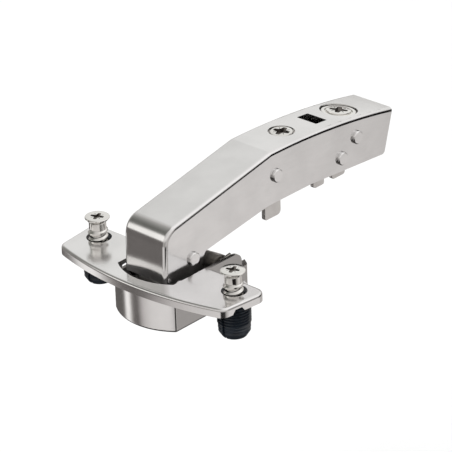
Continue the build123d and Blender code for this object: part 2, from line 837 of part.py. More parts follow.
with BuildPart() as latch_pin:
    with BuildSketch(Plane.YZ):
        with Locations(latch_axis):
            Circle(latch_pin_r)
    extrude(amount=slide_half, both=True)
save(latch_pin, "latch_pin")

# Latch spring: a coil on the latch pin with two short legs
with BuildPart() as latch_spring:
    with BuildLine() as latch_coil:
        Helix(
            latch_coil_pitch,
            latch_coil_pitch * latch_coil_turns,
            latch_coil_r,
            center=(-latch_coil_pitch * latch_coil_turns / 2, latch_axis[0], latch_axis[1]),
            direction=(1, 0, 0),
        )
    with BuildSketch(Plane(origin=latch_coil.line @ 0, z_dir=latch_coil.line % 0)):
        RegularPolygon(latch_wire_r, wire_sides)
    sweep(is_frenet=True)
save(latch_spring, "latch_spring")
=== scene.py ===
import math

import bmesh
import bpy
from mathutils import Matrix, Vector


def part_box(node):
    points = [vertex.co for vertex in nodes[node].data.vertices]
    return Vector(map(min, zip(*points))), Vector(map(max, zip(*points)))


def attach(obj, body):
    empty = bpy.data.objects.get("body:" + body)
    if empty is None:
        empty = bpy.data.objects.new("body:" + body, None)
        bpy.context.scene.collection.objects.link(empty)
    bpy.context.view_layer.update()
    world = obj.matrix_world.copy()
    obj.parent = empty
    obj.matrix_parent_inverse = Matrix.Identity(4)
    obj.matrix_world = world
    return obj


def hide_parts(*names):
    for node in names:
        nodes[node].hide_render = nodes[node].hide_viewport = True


# Looks of a concealed cup hinge: satin nickel pressings, bright screws and ribbed nylon dowels,
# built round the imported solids. Lengths are in metres unless a name ends in Mm.

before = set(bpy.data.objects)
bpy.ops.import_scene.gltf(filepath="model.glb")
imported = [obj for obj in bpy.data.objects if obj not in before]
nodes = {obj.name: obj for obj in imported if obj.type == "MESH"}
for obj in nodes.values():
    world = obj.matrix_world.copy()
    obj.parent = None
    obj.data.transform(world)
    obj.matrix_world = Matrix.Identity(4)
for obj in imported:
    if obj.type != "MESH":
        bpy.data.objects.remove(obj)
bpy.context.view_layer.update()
mm = 0.001
print("frame loaded,", len(nodes), "nodes")


# Helpers for materials

def toLinear(hexColour):
    channels = [int(hexColour[i:i + 2], 16) / 255 for i in (1, 3, 5)]
    linear = [c / 12.92 if c <= 0.04045 else ((c + 0.055) / 1.055) ** 2.4 for c in channels]
    return (*linear, 1.0)


def perMm(sizeMm):
    # a texture scale that gives one repeat per this many millimetres in object space
    return 1000.0 / sizeMm


def addNode(tree, kind, settings=None, links=None):
    node = tree.nodes.new(kind)
    for key, value in (settings or {}).items():
        if isinstance(key, int) or key in node.inputs.keys():
            node.inputs[key].default_value = value
        else:
            setattr(node, key, value)
    for key, source in (links or {}).items():
        tree.links.new(source, node.inputs[key])
    return node


def startMaterial(name):
    material = bpy.data.materials.new(name)
    material.use_nodes = True
    tree = material.node_tree
    tree.nodes.clear()
    output = addNode(tree, "ShaderNodeOutputMaterial")
    place = addNode(tree, "ShaderNodeTexCoord")
    return material, tree, output, place.outputs["Object"]


def setRamp(node, stops):
    ramp = node.color_ramp
    while len(ramp.elements) > 1:
        ramp.elements.remove(ramp.elements[-1])
    ramp.elements[0].position = stops[0][0]
    ramp.elements[0].color = toLinear(stops[0][1])
    for position, colour in stops[1:]:
        ramp.elements.new(position).color = toLinear(colour)
    return node


# A deep drawn cup: its flat side walls get a greyer colour, which is painted shade from the flange above them,
# and its inside stays matt because the plating bath reaches it badly.
def cupPaintedWallShadeAndMattInside(tree, s, place, tinted, polish):
    facing = addNode(tree, "ShaderNodeTexCoord").outputs["Normal"]
    axes = addNode(tree, "ShaderNodeSeparateXYZ", None, {"Vector": facing})
    spot = addNode(tree, "ShaderNodeSeparateXYZ", None, {"Vector": place})
    sideways = addNode(tree, "ShaderNodeMath", {"operation": "ABSOLUTE"}, {0: axes.outputs["X"]})
    wall = addNode(tree, "ShaderNodeMath", {"operation": "GREATER_THAN", 1: s["wallFacing"]},
                   {0: sideways.outputs["Value"]})
    reach = addNode(tree, "ShaderNodeMath", {"operation": "ABSOLUTE"}, {0: spot.outputs["X"]})
    near = addNode(tree, "ShaderNodeMath", {"operation": "LESS_THAN", 1: s["wallReachMm"] * mm},
                   {0: reach.outputs["Value"]})
    paintedShadeOnWall = addNode(tree, "ShaderNodeMath", {"operation": "MULTIPLY"},
                     {0: wall.outputs["Value"], 1: near.outputs["Value"]})
    # painted shade: the flat side walls near the cup's middle take the greyer wall colour
    colour = addNode(tree, "ShaderNodeMix", {"data_type": "RGBA"}, {"Factor": paintedShadeOnWall.outputs["Value"], "A": tinted})
    colour.inputs["B"].default_value = toLinear(s["wallPaintedShadeColour"])
    flatSpot = addNode(tree, "ShaderNodeVectorMath", {"operation": "MULTIPLY", 1: (1.0, 1.0, 0.0)}, {0: place})
    outward = addNode(tree, "ShaderNodeVectorMath", {"operation": "DOT_PRODUCT"},
                      {0: flatSpot.outputs["Vector"], 1: facing})
    inside = addNode(tree, "ShaderNodeMath", {"operation": "LESS_THAN", 1: -s["insideReachMm"] * mm},
                     {0: outward.outputs["Value"]})
    rough = addNode(tree, "ShaderNodeMix", {"data_type": "FLOAT"},
                    {"Factor": inside.outputs["Value"], "A": polish})
    rough.inputs["B"].default_value = s["insideRoughness"]
    return colour.outputs["Result"], rough.outputs["Result"]


# Nickel plate over pressed cold rolled sheet: the plate follows the sheet's fine orange-peel grain,
# so reflections are soft, and it is a touch duller where the press tool rubbed.
def nickelPlate(name, s):
    material, tree, output, place = startMaterial(name)
    grain = addNode(tree, "ShaderNodeTexNoise", {"Scale": perMm(s["grainMm"]), "Detail": 3.0, "Roughness": 0.6},
                    {"Vector": place})
    cloud = addNode(tree, "ShaderNodeTexNoise", {"Scale": perMm(s["cloudMm"]), "Detail": 2.0}, {"Vector": place})
    stretched = addNode(tree, "ShaderNodeMapping", {"Scale": s["drawnScale"]}, {"Vector": place})
    drawn = addNode(tree, "ShaderNodeTexNoise", {"Scale": perMm(s["drawnMm"]), "Detail": 4.0, "Roughness": 0.7},
                    {"Vector": stretched.outputs["Vector"]})
    tone = addNode(tree, "ShaderNodeMapRange", {"From Min": 0.35, "From Max": 0.65, "To Min": 0.0, "To Max": 1.0},
                   {"Value": cloud.outputs["Fac"]})
    colour = addNode(tree, "ShaderNodeMix", {"data_type": "RGBA"}, {"Factor": tone.outputs["Result"]})
    colour.inputs["A"].default_value = toLinear(s["colour"])
    colour.inputs["B"].default_value = toLinear(s["colourWorn"])
    tinted = colour.outputs["Result"]
    rough = addNode(tree, "ShaderNodeMapRange",
                    {"From Min": 0.3, "From Max": 0.7, "To Min": s["roughness"] - s["roughnessSpread"],
                     "To Max": s["roughness"] + s["roughnessSpread"]}, {"Value": drawn.outputs["Fac"]})
    polish = rough.outputs["Result"]
    if "wallPaintedShadeColour" in s:
        tinted, polish = cupPaintedWallShadeAndMattInside(tree, s, place, tinted, polish)
    height = addNode(tree, "ShaderNodeMath", {"operation": "MULTIPLY_ADD", 1: s["grainShare"]},
                     {0: grain.outputs["Fac"], 2: drawn.outputs["Fac"]})
    bump = addNode(tree, "ShaderNodeBump", {"Strength": s["bump"], "Distance": s["bumpMm"] * mm},
                   {"Height": height.outputs["Value"]})
    shader = addNode(tree, "ShaderNodeBsdfPrincipled", {"Metallic": 1.0},
                     {"Base Color": tinted, "Roughness": polish, "Normal": bump.outputs["Normal"]})
    tree.links.new(shader.outputs["BSDF"], output.inputs["Surface"])
    return material


pressedNickel = {
    "colour": "#e8e7e7", "colourWorn": "#e1e0e0", "roughness": 0.17, "roughnessSpread": 0.02,
    "grainMm": 0.35, "cloudMm": 9.0, "drawnMm": 1.2, "drawnScale": (1.0, 0.18, 1.0),
    "grainShare": 0.6, "bump": 0.08, "bumpMm": 0.012,
}
satinNickelPressing = nickelPlate("satinNickelPressing", pressedNickel)
# the cup's greyer wall colour is painted shade from the flange, not a finish of the sheet
cupNickelPaintedWallShade = nickelPlate("cupNickelPaintedWallShade", dict(pressedNickel, wallPaintedShadeColour="#a9a7a6", wallReachMm=18.5,
                                                    wallFacing=0.97, insideReachMm=4.0, insideRoughness=0.5))
# levers and clip are stamped from thicker stock and plated in a barrel, so they are duller
stampedNickel = nickelPlate("stampedNickel", dict(pressedNickel, roughness=0.24, colour="#e0dedc",
                                                  colourWorn="#d3d0ce", drawnScale=(1.0, 1.0, 0.3)))
rivetNickel = nickelPlate("rivetNickel", dict(pressedNickel, roughness=0.12, grainMm=0.25))
# screws are cold headed and rolled, then plated bright
brightNickelScrew = nickelPlate("brightNickelScrew", dict(pressedNickel, roughness=0.07, roughnessSpread=0.015,
                                                          colour="#ecebe8", colourWorn="#e4e2df", bump=0.04))
# the bottom of a driver's recess is matt, and its darker colour is painted shade
recessPaintedShade = nickelPlate("recessPaintedShade", dict(pressedNickel, roughness=0.34, colour="#8f8b87",
                                                      colourWorn="#777370", bump=0.1))
drawnSpringWire = nickelPlate("drawnSpringWire", dict(pressedNickel, roughness=0.28, colour="#a8a5a0",
                                                      colourWorn="#8f8c88"))


# Black nylon, injection moulded: nearly black with a slate sheen, and a fine spark-eroded texture.
def mouldedNylon(name, s):
    material, tree, output, place = startMaterial(name)
    texture = addNode(tree, "ShaderNodeTexNoise", {"Scale": perMm(s["textureMm"]), "Detail": 2.0}, {"Vector": place})
    cloud = addNode(tree, "ShaderNodeTexNoise", {"Scale": perMm(s["cloudMm"]), "Detail": 2.0}, {"Vector": place})
    colour = setRamp(addNode(tree, "ShaderNodeValToRGB", None, {"Fac": cloud.outputs["Fac"]}),
                     ((0.35, s["colour"]), (0.65, s["colourLight"])))
    bump = addNode(tree, "ShaderNodeBump", {"Strength": s["bump"], "Distance": s["bumpMm"] * mm},
                   {"Height": texture.outputs["Fac"]})
    shader = addNode(tree, "ShaderNodeBsdfPrincipled", {"Roughness": s["roughness"], "IOR": s["ior"]},
                     {"Base Color": colour.outputs["Color"], "Normal": bump.outputs["Normal"]})
    tree.links.new(shader.outputs["BSDF"], output.inputs["Surface"])
    return material


blackNylon = mouldedNylon("mouldedBlackNylon", {
    "colour": "#141a21", "colourLight": "#1f2730", "roughness": 0.3, "ior": 1.53, "textureMm": 0.3,
    "cloudMm": 4.0, "bump": 0.2, "bumpMm": 0.02})

finishOf = {
    "cup": cupNickelPaintedWallShade, "arm": satinNickelPressing,
    "outer_lever": stampedNickel, "inner_lever": stampedNickel, "carrier": stampedNickel,
    "clip_slide": stampedNickel, "release_latch": stampedNickel,
    "left_closing_spring": drawnSpringWire, "right_closing_spring": drawnSpringWire, "latch_spring": drawnSpringWire,
    "left_dowel": blackNylon, "right_dowel": blackNylon,
    "left_fixing_screw": brightNickelScrew, "right_fixing_screw": brightNickelScrew,
    "overlay_screw": brightNickelScrew, "depth_screw": brightNickelScrew,
}
for name, node in nodes.items():
    node.data.materials.clear()
    node.data.materials.append(finishOf.get(name, rivetNickel))
print("materials on the solids")


# Soft edges, as a press tool and a barrel leave them

weldDistance = 1e-6
sharpDegrees = {"bevelled": 32, "split": 28, "turned": 36}


def softenEdges(node, widthMm):
    weld = node.modifiers.new("weld", "WELD")
    weld.merge_threshold = weldDistance
    bevel = node.modifiers.new("edges", "BEVEL")
    bevel.width = widthMm * mm
    bevel.segments = 2
    bevel.limit_method = "ANGLE"
    bevel.angle_limit = math.radians(sharpDegrees["bevelled"])
    bevel.harden_normals = True
    bevel.use_clamp_overlap = True


def evenShading(node):
    # flat faces shade flat although long thin triangles meet their rounded edges
    weld = node.modifiers.new("weld", "WELD")
    weld.merge_threshold = weldDistance
    split = node.modifiers.new("split", "EDGE_SPLIT")
    split.split_angle = math.radians(sharpDegrees["split"])
    even = node.modifiers.new("even", "WEIGHTED_NORMAL")
    even.mode = "FACE_AREA"
    even.weight = 60
    even.keep_sharp = True


for name in ("cup", "arm"):
    evenShading(nodes[name])
edgeMm = {
    0.14: ("outer_arm_pin", "inner_arm_pin", "front_guide_pin", "rear_guide_pin", "left_tilt_rivet",
           "right_tilt_rivet"),
    0.12: ("clip_slide", "outer_lever", "inner_lever"),
    0.10: ("release_latch", "carrier", "left_lever_stub", "right_lever_stub", "inner_cup_pin"),
}
for widthMm, names in edgeMm.items():
    for name in names:
        softenEdges(nodes[name], widthMm)
print("edges softened")


# Helpers for turned, threaded and coiled pieces, drawn in millimetres round the local Z axis

def turnProfile(shape, profile, segments=72):
    # sweep (radius, height) points round the axis, a radius of 0 closes the shape in one point
    rings = []
    for radius, height in profile:
        count = segments if radius > 1e-6 else 1
        rings.append([shape.verts.new((radius * math.cos(2 * math.pi * k / segments),
                                       radius * math.sin(2 * math.pi * k / segments), height))
                      for k in range(count)])
    for ring, following in zip(rings, rings[1:]):
        for k in range(segments):
            after = (k + 1) % segments
            corners = [ring[k % len(ring)], ring[after % len(ring)],
                       following[after % len(following)], following[k % len(following)]]
            corners = list(dict.fromkeys(corners))
            if len(corners) > 2:
                shape.faces.new(corners)


def addThread(shape, s):
    # one helical ridge over a core; outside lowMm to highMm it sinks into the core
    samples, perTurn = 10, 48
    turns = (s["highMm"] - s["lowMm"]) / s["pitchMm"] + 1
    strip = []
    for sample in range(samples + 1):
        share = sample / samples
        tooth = min(1.0, max(0.0, (0.5 - abs(share - 0.5)) * 2 / s["flank"] - s["valley"]))
        column = []
        for step in range(int(turns * perTurn) + 1):
            height = s["lowMm"] + s["pitchMm"] * (step / perTurn + share - 1)
            fade = min(1.0, max(0.0, (height - s["lowMm"]) / s["fadeMm"]),
                       max(0.0, (s["highMm"] - height) / s["fadeMm"]))
            radius = s["rootMm"] + (s["crestMm"] - s["rootMm"]) * tooth * fade
            angle = 2 * math.pi * step / perTurn
            height = min(max(height, s["lowMm"]), s["highMm"])
            column.append(shape.verts.new((radius * math.cos(angle), radius * math.sin(angle), height)))
        strip.append(column)
    for column, following in zip(strip, strip[1:]):
        for k in range(len(column) - 1):
            shape.faces.new((column[k], column[k + 1], following[k + 1], following[k]))


def toMesh(name, shape):
    bmesh.ops.remove_doubles(shape, verts=shape.verts, dist=1e-5)
    bmesh.ops.recalc_face_normals(shape, faces=shape.faces)
    mesh = bpy.data.meshes.new(name)
    shape.to_mesh(mesh)
    shape.free()
    return mesh


def crossRecess(s):
    # a driver's cross: four arms that taper to a blunt point, with a tick between each two arms
    shape = bmesh.new()
    levels = ((0.5, 1.03, 1.0), (0.0, 1.0, 1.0), (-0.75 * s["deepMm"], 0.82, 0.86), (-s["deepMm"], 0.4, 0.5))
    rings = []
    for height, reach, width in levels:
        half = s["wideMm"] / 2 * width
        core = half + s["coreMm"] * width
        ring = []
        for quarter in range(4):
            turn = math.radians(90 * quarter + s["turn"])
            for x, y in ((s["armMm"] * reach, -half), (s["armMm"] * reach, half), (core, core)):
                ring.append(shape.verts.new((x * math.cos(turn) - y * math.sin(turn),
                                             x * math.sin(turn) + y * math.cos(turn), height)))
        rings.append(ring)
    for ring, following in zip(rings, rings[1:]):
        for k in range(len(ring)):
            after = (k + 1) % len(ring)
            shape.faces.new((ring[k], ring[after], following[after], following[k]))
    shape.faces.new(rings[0])
    shape.faces.new(rings[-1])
    for quarter in range(4):
        turn = math.radians(90 * quarter + 45 + s["turn"])
        along, across = Vector((math.cos(turn), math.sin(turn), 0)), Vector((-math.sin(turn), math.cos(turn), 0))
        start, end = s["armMm"] * 0.62, s["armMm"] * 0.98
        corners = []
        for distance, height in ((start, 0.3), (end, 0.3), (end, -0.05), (start, -s["tickMm"])):
            for side in (-1, 1):
                corners.append(shape.verts.new(along * distance + across * side * s["tickMm"] / 2
                                               + Vector((0, 0, height))))
        for a, b, c, d in ((0, 2, 4, 6), (1, 3, 5, 7), (0, 1, 3, 2), (2, 3, 5, 4), (4, 5, 7, 6), (6, 7, 1, 0)):
            shape.faces.new((corners[a], corners[b], corners[c], corners[d]))
    return toMesh("crossRecess", shape)


def boxMesh(low, high):
    shape = bmesh.new()
    bmesh.ops.create_cube(shape, size=1.0)
    middle = (Vector(low) + Vector(high)) / 2
    scale = Vector(high) - Vector(low)
    for vert in shape.verts:
        vert.co = Vector((vert.co.x * scale.x, vert.co.y * scale.y, vert.co.z * scale.z)) + middle
    return toMesh("slit", shape)


def takeOut(mesh, cutter):
    # the mesh without the cutter's volume
    holder = bpy.data.objects.new("uncut", mesh)
    tool = bpy.data.objects.new("cutter", cutter)
    for obj in (holder, tool):
        bpy.context.scene.collection.objects.link(obj)
    cut = holder.modifiers.new("cut", "BOOLEAN")
    cut.operation = "DIFFERENCE"
    cut.solver = "EXACT"
    cut.object = tool
    left = bpy.data.meshes.new_from_object(holder.evaluated_get(bpy.context.evaluated_depsgraph_get()))
    for obj in (holder, tool):
        bpy.data.objects.remove(obj)
    return left


def wireMesh(name, line, radiusMm, sides=12):
    # a round wire along a smooth run of points, with flat cut ends
    shape = bmesh.new()
    rings = []
    normal = None
    for k, point in enumerate(line):
        ahead = (line[min(k + 1, len(line) - 1)] - line[max(k - 1, 0)]).normalized()
        normal = (normal or ahead.orthogonal())
        normal = (normal - ahead * normal.dot(ahead)).normalized()
        across = ahead.cross(normal)
        rings.append([shape.verts.new(point + (normal * math.cos(2 * math.pi * j / sides)
                                               + across * math.sin(2 * math.pi * j / sides)) * radiusMm)
                      for j in range(sides)])
    for ring, following in zip(rings, rings[1:]):
        for j in range(sides):
            after = (j + 1) % sides
            shape.faces.new((ring[j], ring[after], following[after], following[j]))
    shape.faces.new(rings[0])
    shape.faces.new(rings[-1])
    return toMesh(name, shape)


def addPiece(name, mesh, place, material, body, node, cross=None):
    # place turns local millimetres into metres in the shared frame; the faces inside a driver's cross,
    # below the head's flat top, get the recess's matt plate with its painted shade
    mesh.materials.clear()
    mesh.materials.append(material)
    if cross:
        # the recess material's darker colour is painted shade
        mesh.materials.append(recessPaintedShade)
        for face in mesh.polygons:
            x, y, z = face.center
            if math.hypot(x, y) < cross["armMm"] + 0.15 and -cross["deepMm"] - 0.1 < z < -0.02:
                face.material_index = 1
    mesh.transform(place @ Matrix.Scale(mm, 4))
    mesh.shade_smooth()
    mesh.set_sharp_from_angle(angle=math.radians(sharpDegrees["turned"]))
    piece = bpy.data.objects.new(name, mesh)
    bpy.context.scene.collection.objects.link(piece)
    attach(piece, body)
    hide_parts(node)
    return piece


# Fixing screws: flat heads on a bare neck, with a coarse rolled thread below
fixingScrew = {
    "headRadiusMm": 3.3, "rimMm": 0.45, "coneMm": 1.0, "neckRadiusMm": 2.3, "neckMm": 2.0, "lengthMm": 9.3,
    "cross": {"armMm": 1.85, "wideMm": 0.75, "coreMm": 0.25, "deepMm": 1.0, "tickMm": 0.16, "turn": 20},
    "thread": {"rootMm": 2.15, "crestMm": 2.68, "pitchMm": 1.9, "fadeMm": 0.5, "flank": 0.5, "valley": 0.5},
}
screwPlaces = {"left": (-24.0, -6.0), "right": (24.0, -6.0)}
for side, (x, y) in screwPlaces.items():
    s = fixingScrew
    head, cone = s["headRadiusMm"], -s["rimMm"] - s["coneMm"]
    core = s["neckRadiusMm"] - 0.08
    shape = bmesh.new()
    turnProfile(shape, ((0, 0), (head * 0.5, 0), (head - 0.22, 0), (head - 0.08, -0.05), (head, -0.15),
                        (head, -s["rimMm"] + 0.08), (head - 0.08, -s["rimMm"]),
                        (s["neckRadiusMm"] + 0.08, cone + 0.1), (s["neckRadiusMm"] + 0.01, cone - 0.08),
                        (s["neckRadiusMm"], cone - 0.2), (s["neckRadiusMm"], cone - s["neckMm"] + 0.2),
                        (s["neckRadiusMm"], cone - s["neckMm"]), (core, cone - s["neckMm"] - 0.15),
                        (core, -s["lengthMm"] + 0.8), (core * 0.5, -s["lengthMm"]), (0, -s["lengthMm"])))
    mesh = takeOut(toMesh("screwBlank", shape), crossRecess(s["cross"]))
    shape = bmesh.new()
    shape.from_mesh(mesh)
    addThread(shape, dict(s["thread"], lowMm=-s["lengthMm"] + 0.6, highMm=cone - s["neckMm"] + 0.25))
    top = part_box(f"{side}_fixing_screw")[1][2]
    addPiece(f"{side}FixingScrew", toMesh("fixingScrew", shape), Matrix.Translation((x * mm, y * mm, top)),
             brightNickelScrew, f"{side}_screw", f"{side}_fixing_screw", s["cross"])
print("fixing screws done")

# Dowels: saw-tooth ribs that wedge in the door's hole, and a slit that lets the screw spread them
ribbedDowel = {"ribMm": 4.45, "grooveMm": 4.08, "pitchMm": 0.8, "ribs": 10, "collarMm": 1.2, "boreMm": 3.05,
               "lowerMm": 4.2, "bottomMm": 11.7, "chamferMm": 1.9, "coreMm": 7.7, "slitMm": 0.7,
               "slitFrontMm": 6.4, "slitBackMm": 2.1, "slitLowMm": 20.0,
               "tipMm": ((3.3, 0.475), (3.18, 0.38), (2.45, 0.05), (2.3, 0.0))}
for side, (x, y) in screwPlaces.items():
    s = ribbedDowel
    profile = [(0, -s["coreMm"]), (s["boreMm"], -s["coreMm"]), (s["boreMm"], 0), (s["ribMm"] - 0.1, 0),
               (s["ribMm"], -0.1), (s["ribMm"], -s["collarMm"] + 0.15), (s["ribMm"] - 0.1, -s["collarMm"])]
    for k in range(s["ribs"]):
        height = -s["collarMm"] - k * s["pitchMm"]
        reach = s["ribMm"] if height - s["pitchMm"] > -s["coreMm"] else s["lowerMm"] + 0.05
        profile += [(s["grooveMm"], height - 0.02), (s["grooveMm"], height - 0.16), (reach, height - 0.34),
                    (reach, height - 0.46), (s["grooveMm"] + 0.02, height - s["pitchMm"] + 0.06)]
    low = -s["bottomMm"]
    profile += [(s["lowerMm"], low + s["chamferMm"])]
    profile += [(radius, low + above) for radius, above in s["tipMm"]] + [(0, low)]
    shape = bmesh.new()
    turnProfile(shape, profile)
    slit = boxMesh((-s["slitMm"] / 2, -s["slitFrontMm"], -s["slitLowMm"]),
                   (s["slitMm"] / 2, -s["slitBackMm"], -s["collarMm"]))
    mesh = takeOut(toMesh("dowelBlank", shape), slit)
    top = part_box(f"{side}_dowel")[1][2]
    addPiece(f"{side}RibbedDowel", mesh, Matrix.Translation((x * mm, y * mm, top)), blackNylon, "cup",
             f"{side}_dowel")
print("dowels done")

# Overlay screw: its collar is caught under the arm's top, its thread lifts the carrier
overlayScrew = {
    "yMm": 40.3, "headMm": 3.15, "collarTopMm": 1.7, "collarLowMm": 2.2, "collarMm": 4.0, "threadMm": 2.0,
    "cross": {"armMm": 2.35, "wideMm": 1.1, "coreMm": 0.35, "deepMm": 1.5, "tickMm": 0.22, "turn": 12},
    "thread": {"rootMm": 1.6, "crestMm": 2.0, "pitchMm": 0.8, "fadeMm": 0.3, "flank": 0.9, "valley": 0.1},
}
s = overlayScrew
low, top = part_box("overlay_screw")[0][2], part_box("overlay_screw")[1][2]
tip = (low - top) / mm
shape = bmesh.new()
turnProfile(shape, ((0, 0), (1.5, 0), (s["headMm"] - 0.32, 0), (s["headMm"] - 0.12, -0.08), (s["headMm"], -0.28),
                    (s["headMm"], -s["collarTopMm"]), (s["collarMm"], -s["collarTopMm"]),
                    (s["collarMm"], -s["collarLowMm"]), (s["threadMm"] - 0.35, -s["collarLowMm"]),
                    (s["threadMm"] - 0.35, tip + 0.4), (1.2, tip), (0, tip)))
mesh = takeOut(toMesh("overlayBlank", shape), crossRecess(s["cross"]))
shape = bmesh.new()
shape.from_mesh(mesh)
addThread(shape, dict(s["thread"], lowMm=tip + 0.1, highMm=-s["collarLowMm"]))
addPiece("overlayAdjuster", toMesh("overlayAdjuster", shape), Matrix.Translation((0, s["yMm"] * mm, top)),
         brightNickelScrew, "overlay_screw", "overlay_screw", s["cross"])

# Depth screw: a wide disc with a raised middle, riveted in the carrier, and a crank below
depthScrew = {
    "place": (0.0, 0.0636, 0.0214218), "slope": 0.135754, "discMm": 4.85, "bossMm": 3.5, "sinkMm": 0.35,
    "discLowMm": 1.25, "shoulderMm": 3.6, "shoulderLowMm": 1.716, "spindleMm": 2.9, "spindleLowMm": 3.126,
    "rivetMm": 3.4, "rivetLowMm": 3.526, "crankMm": 1.0, "crankLowMm": 7.59, "throwMm": 2.2,
    "cross": {"armMm": 2.5, "wideMm": 1.1, "coreMm": 0.35, "deepMm": 1.4, "tickMm": 0.26, "turn": 30},
}
s = depthScrew
shape = bmesh.new()
turnProfile(shape, ((0, 0), (1.6, 0), (s["bossMm"] - 0.2, 0), (s["bossMm"] - 0.06, -0.06), (s["bossMm"], -0.2),
                    (s["bossMm"] + 0.04, -s["sinkMm"] - 0.3), (s["bossMm"] + 0.3, -s["sinkMm"] - 0.3),
                    (s["bossMm"] + 0.42, -s["sinkMm"]), (s["discMm"] - 0.15, -s["sinkMm"]),
                    (s["discMm"], -s["sinkMm"] - 0.15), (s["discMm"], -s["discLowMm"]),
                    (s["shoulderMm"], -s["discLowMm"]), (s["shoulderMm"], -s["shoulderLowMm"]),
                    (s["spindleMm"], -s["shoulderLowMm"]), (s["spindleMm"], -s["spindleLowMm"]),
                    (s["rivetMm"], -s["spindleLowMm"]), (s["rivetMm"], -s["rivetLowMm"] + 0.1),
                    (s["rivetMm"] - 0.2, -s["rivetLowMm"]), (0, -s["rivetLowMm"])))
mesh = takeOut(toMesh("depthBlank", shape), crossRecess(s["cross"]))
shape = bmesh.new()
shape.from_mesh(mesh)
crank = bmesh.new()
turnProfile(crank, ((0, -s["rivetLowMm"] + 0.1), (s["crankMm"], -s["rivetLowMm"] + 0.1),
                    (s["crankMm"], -s["crankLowMm"] + 0.15), (s["crankMm"] - 0.15, -s["crankLowMm"]),
                    (0, -s["crankLowMm"])), 32)
crankMesh = toMesh("crank", crank)
crankMesh.transform(Matrix.Translation((s["throwMm"], 0, 0)))
shape.from_mesh(crankMesh)
lean = Matrix.Rotation(-math.asin(s["slope"]), 4, "X")
addPiece("depthAdjuster", toMesh("depthAdjuster", shape), Matrix.Translation(s["place"]) @ lean,
         brightNickelScrew, "depth_screw", "depth_screw", s["cross"])
print("adjusting screws done")

# Closing springs: round wire coiled on the lever's stub pins, with a straight leg at each end
closingSpring = {"axisMm": (9.3, -2.4), "startMm": 6.4, "radiusMm": 2.06, "pitchMm": 1.06, "turns": 2.5,
                 "legMm": 3.0, "wireMm": 0.5, "perTurn": 40}
for side, sign in (("left", -1), ("right", 1)):
    s = closingSpring
    coil = []
    for k in range(int(s["turns"] * s["perTurn"]) + 1):
        turn = 2 * math.pi * k / s["perTurn"]
        coil.append(Vector((sign * (s["startMm"] + s["pitchMm"] * k / s["perTurn"]),
                            s["axisMm"][0] - s["radiusMm"] * math.sin(turn),
                            s["axisMm"][1] + sign * s["radiusMm"] * math.cos(turn))))
    first = (coil[0] - coil[1]).normalized() * s["legMm"]
    last = (coil[-1] - coil[-2]).normalized() * s["legMm"]
    line = [coil[0] + first * (1 - k / 4) for k in range(4)] + coil + [coil[-1] + last * k / 4 for k in range(1, 5)]
    addPiece(f"{side}ClosingCoil", wireMesh("closingCoil", line, s["wireMm"]), Matrix.Identity(4), drawnSpringWire,
             "cup", f"{side}_closing_spring")

# Latch spring: a small close coil on the latch's pin
latchSpring = {"axisMm": (64.5, 10.3), "radiusMm": 1.36, "pitchMm": 0.75, "turns": 4, "wireMm": 0.3, "perTurn": 32}
s = latchSpring
line = []
for k in range(s["turns"] * s["perTurn"] + 1):
    turn = 2 * math.pi * k / s["perTurn"]
    line.append(Vector((s["pitchMm"] * (k / s["perTurn"] - s["turns"] / 2),
                        s["axisMm"][0] - s["radiusMm"] * math.sin(turn),
                        s["axisMm"][1] + s["radiusMm"] * math.cos(turn))))
addPiece("latchCoil", wireMesh("latchCoil", line, s["wireMm"], 10), Matrix.Identity(4), drawnSpringWire,
         "clip_slide", "latch_spring")
print("springs done")

# Floor: white paper that the metal doesn't mirror. It lies low enough for the arm to swing down beside
# the cup, so the shadow on it is wide and faint.
paper = {"heightMm": -90.0, "wide": 6.0, "middle": (0.1, 0.1), "colour": "#f4f4f4", "glow": 0.1}
bpy.ops.mesh.primitive_plane_add(size=paper["wide"], location=(*paper["middle"], paper["heightMm"] * mm))
floor = bpy.context.object
floor.name = "paleFloor"
material, tree, output, place = startMaterial("paleFloor")
rays = addNode(tree, "ShaderNodeLightPath")
matt = addNode(tree, "ShaderNodeBsdfDiffuse", {"Color": toLinear(paper["colour"])})
glow = addNode(tree, "ShaderNodeEmission", {"Color": toLinear("#ffffff"), "Strength": paper["glow"]})
lifted = addNode(tree, "ShaderNodeAddShader", None, {0: matt.outputs["BSDF"], 1: glow.outputs["Emission"]})
clear = addNode(tree, "ShaderNodeBsdfTransparent")
shown = addNode(tree, "ShaderNodeMixShader", None,
                {"Fac": rays.outputs["Is Camera Ray"], 1: matt.outputs["BSDF"], 2: lifted.outputs["Shader"]})
mirrored = addNode(tree, "ShaderNodeMixShader", None,
                   {"Fac": rays.outputs["Is Glossy Ray"], 1: shown.outputs["Shader"], 2: clear.outputs["BSDF"]})
tree.links.new(mirrored.outputs["Shader"], output.inputs["Surface"])
floor.data.materials.append(material)

